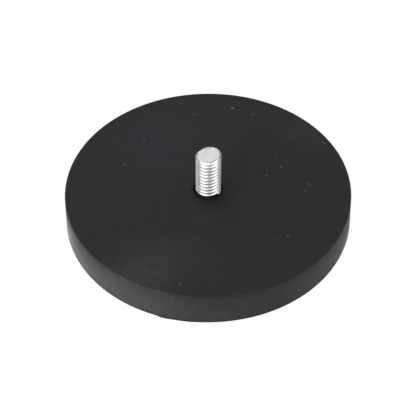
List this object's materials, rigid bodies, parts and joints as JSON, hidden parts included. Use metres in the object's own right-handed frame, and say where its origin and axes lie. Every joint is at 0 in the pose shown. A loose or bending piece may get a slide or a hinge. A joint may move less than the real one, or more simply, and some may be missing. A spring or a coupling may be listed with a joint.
{
  "type": "pot magnet",
  "caption": "Flat round rubber-coated holding magnet with a central threaded stud: its underside clings to flat steel and the stud takes a nut or bracket.",
  "frame": {"origin": "centre of the holding face, the flat rubber underside that clings to steel", "axes": "+Z along the stud, away from the holding face; X and Y lie in the holding face and are alike but for the small trimmed gate land at the foot, 17 degrees from -Y towards -X"},
  "size_m": [0.067, 0.067, 0.02],
  "materials": {
    "black_rubber": "matte black moulded rubber",
    "bright_zinc": "bright zinc plated, rolled thread",
    "plain_steel": "blanked mild steel, oiled",
    "nickel_plate": "nickel plated"
  },
  "bodies": {
    "root": {"rubber_jacket": "black_rubber", "back_plate": "plain_steel", "threaded_stud": "bright_zinc", "outer_magnet_01": "nickel_plate", "outer_magnet_02": "nickel_plate", "outer_magnet_03": "nickel_plate", "outer_magnet_04": "nickel_plate", "outer_magnet_05": "nickel_plate", "outer_magnet_06": "nickel_plate", "outer_magnet_07": "nickel_plate", "outer_magnet_08": "nickel_plate", "outer_magnet_09": "nickel_plate", "outer_magnet_10": "nickel_plate", "outer_magnet_11": "nickel_plate", "outer_magnet_12": "nickel_plate", "inner_magnet_01": "nickel_plate", "inner_magnet_02": "nickel_plate", "inner_magnet_03": "nickel_plate", "inner_magnet_04": "nickel_plate", "inner_magnet_05": "nickel_plate", "inner_magnet_06": "nickel_plate"}
  },
  "joints": []
}
